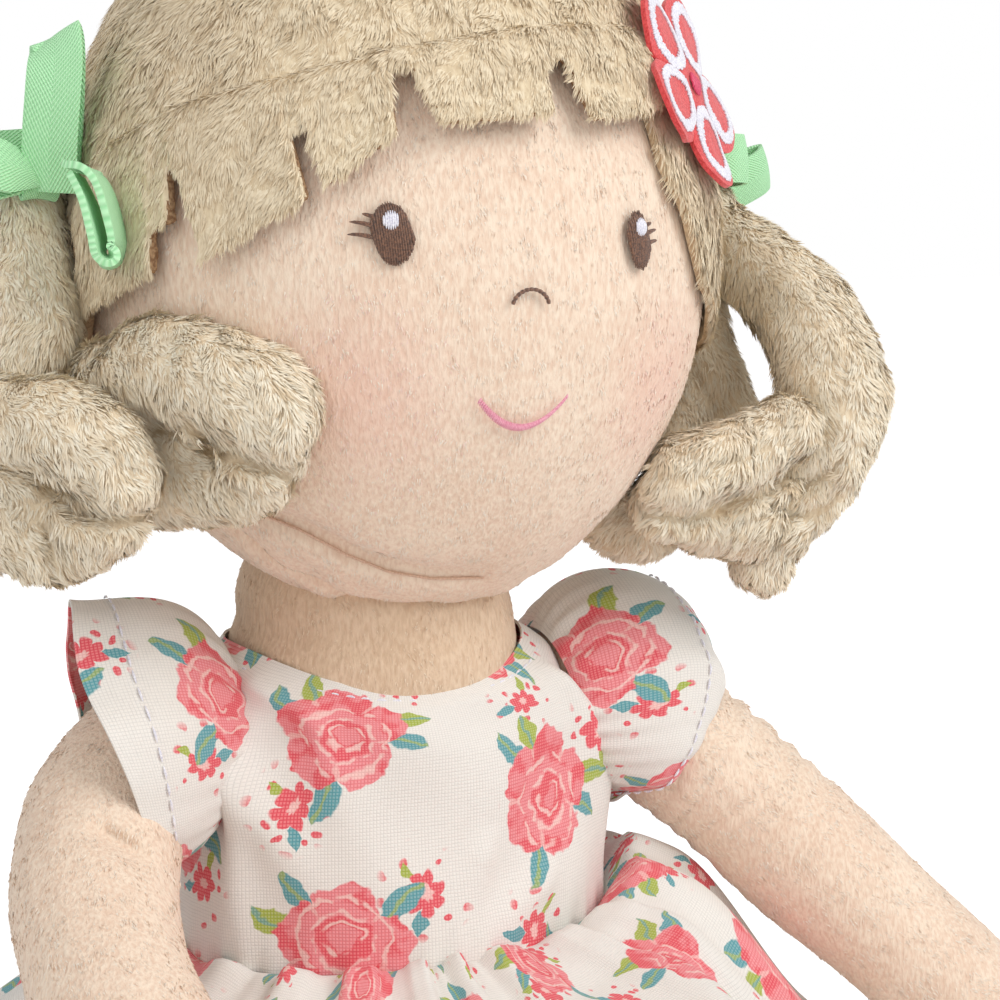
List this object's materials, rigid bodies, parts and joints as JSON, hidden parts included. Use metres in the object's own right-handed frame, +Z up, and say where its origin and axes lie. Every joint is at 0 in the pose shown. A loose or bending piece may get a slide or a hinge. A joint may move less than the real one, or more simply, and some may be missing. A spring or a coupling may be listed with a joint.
{
  "type": "rag doll",
  "caption": "Seated plush rag doll with embroidered face, curled hair in two bunches tied with ribbon, and a printed cotton dress with flutter sleeves.",
  "frame": {"origin": "middle of the flat underside of the seat, straight below the neck", "axes": "+Z up, -Y the way the doll faces, +X towards the doll's left hand"},
  "size_m": [0.2487, 0.2772, 0.2648],
  "materials": {
    "plush_skin": "short-pile peach plush",
    "hair_plush": "longer tan pile plush with pale tips",
    "stuffing": "polyester fibre filling",
    "pellets": "pouch of small plastic pellets",
    "printed_cotton": "thin white plain-weave cotton with a coral floral print",
    "white_tape": "hook and loop tape",
    "green_ribbon": "light green herringbone cotton tape",
    "brown_thread": "satin stitch in brown rayon thread",
    "pink_thread": "backstitch in pink thread",
    "white_thread": "satin stitch in white thread",
    "coral_felt": "coral felt with a darker fleck"
  },
  "bodies": {
    "torso": {"torso_skin": "plush_skin", "torso_stuffing": "stuffing", "pellet_pouch": "pellets", "dress_bodice": "printed_cotton", "dress_skirt": "printed_cotton", "closure_loop_tape": "white_tape", "closure_hook_tape": "white_tape", "closure_flap": "printed_cotton"},
    "neck": {"neck_skin": "plush_skin", "neck_stuffing": "stuffing"},
    "head": {"face_panel": "plush_skin", "head_back_panel": "plush_skin", "head_stuffing": "stuffing", "hair_cap": "hair_plush", "fringe": "hair_plush", "nose_stitch": "brown_thread", "mouth_stitch": "pink_thread", "flower_patch": "coral_felt", "flower_stitching": "white_thread", "flower_centre": "coral_felt", "eye_right": "brown_thread", "eye_highlight_right": "white_thread", "bunch_root_right": "hair_plush", "ribbon_wrap_right": "green_ribbon", "ribbon_bow_right": "green_ribbon", "eye_left": "brown_thread", "eye_highlight_left": "white_thread", "bunch_root_left": "hair_plush", "ribbon_wrap_left": "green_ribbon", "ribbon_bow_left": "green_ribbon"},
    "right_arm": {"arm_skin_right": "plush_skin", "arm_stuffing_right": "stuffing", "sleeve_right": "printed_cotton"},
    "left_arm": {"arm_skin_left": "plush_skin", "arm_stuffing_left": "stuffing", "sleeve_left": "printed_cotton"},
    "right_leg": {"leg_skin_right": "plush_skin", "leg_stuffing_right": "stuffing"},
    "left_leg": {"leg_skin_left": "plush_skin", "leg_stuffing_left": "stuffing"},
    "right_bunch": {"upper_strand_right": "hair_plush", "lower_curl_right": "hair_plush", "cheek_curl_right": "hair_plush"},
    "left_bunch": {"outer_loop_left": "hair_plush", "inner_strand_left": "hair_plush", "front_curl_left": "hair_plush", "end_tuft_left": "hair_plush", "back_curl_left": "hair_plush"}
  },
  "joints": [
    {"name": "neck_turn", "type": "hinge", "parent": "torso", "child": "neck", "pos_m": [0, 0, 0.1013], "axis": [0, 0, 1], "range_deg": [-35, 35]},
    {"name": "head_nod", "type": "hinge", "parent": "neck", "child": "head", "pos_m": [0, 0, 0.1], "axis": [1, 0, 0], "range_deg": [-10, 10]},
    {"name": "right_shoulder_raise", "type": "hinge", "parent": "torso", "child": "right_arm", "pos_m": [-0.04503, 0, 0.09], "axis": [-1, 0, 0], "range_deg": [0, 40]},
    {"name": "left_shoulder_raise", "type": "hinge", "parent": "torso", "child": "left_arm", "pos_m": [0.04503, 0, 0.09], "axis": [-1, 0, 0], "range_deg": [0, 50]},
    {"name": "right_hip_swing", "type": "hinge", "parent": "torso", "child": "right_leg", "pos_m": [-0.0235, -0.028, 0.0188], "axis": [1, 0, 0], "range_deg": [0, 90]},
    {"name": "left_hip_swing", "type": "hinge", "parent": "torso", "child": "left_leg", "pos_m": [0.0235, -0.028, 0.0188], "axis": [1, 0, 0], "range_deg": [0, 90]},
    {"name": "right_bunch_lift", "type": "hinge", "parent": "head", "child": "right_bunch", "pos_m": [-0.0765, 0.00004, 0.19612], "axis": [0, 0.9874, -0.1582], "range_deg": [0, 20]},
    {"name": "left_bunch_lift", "type": "hinge", "parent": "head", "child": "left_bunch", "pos_m": [0.0765, 0.00004, 0.19612], "axis": [0, -0.9874, 0.1582], "range_deg": [0, 20]}
  ]
}
